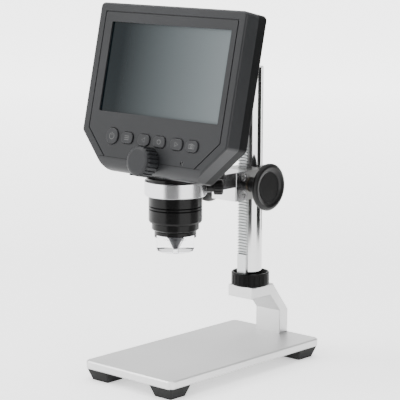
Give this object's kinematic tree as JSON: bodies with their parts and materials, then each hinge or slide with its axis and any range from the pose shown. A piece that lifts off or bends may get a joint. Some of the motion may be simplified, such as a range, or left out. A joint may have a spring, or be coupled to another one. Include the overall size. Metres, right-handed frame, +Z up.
{
  "type": "lcd digital microscope",
  "caption": "Digital microscope with a tilted display head and push buttons, held over a flat base plate by a rack-and-pinion column stand.",
  "frame": {"origin": "on the table under the middle of the base plate, at the bottom of the rubber feet", "axes": "+Z up, the display faces -Y, +X to the right of a person facing the display"},
  "size_m": [0.1174, 0.14, 0.2262],
  "materials": {
    "anodised_aluminium": "satin bead-blasted anodising",
    "brushed_aluminium": "brushed aluminium",
    "foot_rubber": "moulded black rubber",
    "screw_steel": "zinc-plated steel",
    "black_screw": "blackened steel",
    "pad_plastic": "natural acetal",
    "column_chrome": "polished chrome",
    "rack_steel": "nickel-plated steel",
    "black_ring": "moulded black plastic",
    "bush_brass": "turned brass",
    "black_knob": "satin moulded black plastic",
    "barrel_black": "satin black plastic",
    "clear_acrylic": "clear acrylic",
    "cone_black": "matt black plastic",
    "board_white": "white solder mask",
    "lamp_lens": "white lamp lens",
    "housing_black": "textured black plastic",
    "screen_glass": "clear glass over a dark display",
    "panel_dark": "dark display",
    "board_green": "green circuit board",
    "battery_foil": "foil pouch",
    "switch_black": "black plastic",
    "light_pipe": "smoked clear plastic",
    "socket_steel": "tinned steel",
    "lens_glass": "coated glass",
    "knob_black": "textured black plastic",
    "button_black": "textured black plastic"
  },
  "bodies": {
    "stand": {"base_plate": "anodised_aluminium", "rubber_feet": "foot_rubber", "foot_screws": "screw_steel", "riser_bracket": "anodised_aluminium", "bracket_screws": "screw_steel", "column_bolt": "screw_steel", "column_post": "column_chrome", "rack_strip": "rack_steel", "column_lock_ring": "black_ring"},
    "carriage": {"carriage_block": "brushed_aluminium", "friction_pad": "pad_plastic", "friction_screw": "black_screw", "shaft_bushes": "bush_brass", "ring_arm": "brushed_aluminium", "socket_screws": "screw_steel"},
    "thumb_screw": {"thumb_screw_stud": "screw_steel", "thumb_screw_knob": "black_knob"},
    "focus_shaft": {"pinion_shaft": "rack_steel", "right_stand_knob": "black_knob", "left_stand_knob": "black_knob", "knob_grub_screws": "black_screw"},
    "head": {"lens_tube": "barrel_black", "tube_screws": "screw_steel", "nose_ring": "barrel_black", "clear_hood": "clear_acrylic", "nose_cone": "cone_black", "led_board": "board_white", "led_lamps": "lamp_lens", "front_bezel": "housing_black", "rear_housing": "housing_black", "housing_screws": "black_screw", "screen_cover": "screen_glass", "lcd_panel": "panel_dark", "main_board": "board_green", "battery_pack": "battery_foil", "key_board": "board_green", "key_switches": "switch_black", "indicator_light": "light_pipe", "knob_bush": "pad_plastic", "usb_socket": "socket_steel", "card_socket": "socket_steel"},
    "lens_body": {"lens_carrier": "cone_black", "objective_cell": "bush_brass", "objective_lens": "lens_glass", "sensor_board": "board_green"},
    "front_focus": {"front_knob": "knob_black", "focus_spindle": "rack_steel"},
    "power_button_body": {"power_button": "button_black"},
    "menu_button_body": {"menu_button": "button_black"},
    "left_button_body": {"left_button": "button_black"},
    "ok_button_body": {"ok_button": "button_black"},
    "right_button_body": {"right_button": "button_black"},
    "mode_button_body": {"mode_button": "button_black"}
  },
  "joints": [
    {"name": "carriage_slide", "type": "slide", "parent": "stand", "child": "carriage", "axis": [0, 0, 1], "range_m": [-0.043, 0.058]},
    {"name": "focus_shaft_turn", "type": "hinge", "parent": "carriage", "child": "focus_shaft", "pos_m": [0, 0.0312, 0.1133], "axis": [1, 0, 0], "range_deg": [-925, 686]},
    {"name": "thumb_screw_turn", "type": "hinge", "parent": "carriage", "child": "thumb_screw", "pos_m": [0.01412, -0.01459, 0.1178], "axis": [0.7431, 0.6691, 0], "range_deg": [0, 720]},
    {"name": "head_swivel", "type": "hinge", "parent": "carriage", "child": "head", "pos_m": [0, -0.0273, 0.1178], "axis": [0, 0, 1], "continuous": true},
    {"name": "lens_slide", "type": "slide", "parent": "head", "child": "lens_body", "axis": [0, 0, 1], "range_m": [-0.002, 0.002]},
    {"name": "front_knob_turn", "type": "hinge", "parent": "head", "child": "front_focus", "pos_m": [0, -0.05112, 0.13543], "axis": [0, -0.9755, 0.2201], "range_deg": [-46, 46]},
    {"name": "power_button_press", "type": "slide", "parent": "head", "child": "power_button_body", "axis": [0, 0.9755, -0.2201], "range_m": [0, 0.0004], "stiffness_N_per_m": 600},
    {"name": "menu_button_press", "type": "slide", "parent": "head", "child": "menu_button_body", "axis": [0, 0.9755, -0.2201], "range_m": [0, 0.0004], "stiffness_N_per_m": 600},
    {"name": "left_button_press", "type": "slide", "parent": "head", "child": "left_button_body", "axis": [0, 0.9755, -0.2201], "range_m": [0, 0.0004], "stiffness_N_per_m": 600},
    {"name": "ok_button_press", "type": "slide", "parent": "head", "child": "ok_button_body", "axis": [0, 0.9755, -0.2201], "range_m": [0, 0.0004], "stiffness_N_per_m": 600},
    {"name": "right_button_press", "type": "slide", "parent": "head", "child": "right_button_body", "axis": [0, 0.9755, -0.2201], "range_m": [0, 0.0004], "stiffness_N_per_m": 600},
    {"name": "mode_button_press", "type": "slide", "parent": "head", "child": "mode_button_body", "axis": [0, 0.9755, -0.2201], "range_m": [0, 0.0004], "stiffness_N_per_m": 600}
  ],
  "couplings": [
    {"joint": "focus_shaft_turn", "follows": "carriage_slide", "rad_per_m": -277.78},
    {"joint": "front_knob_turn", "follows": "lens_slide", "rad_per_m": 390.19}
  ]
}
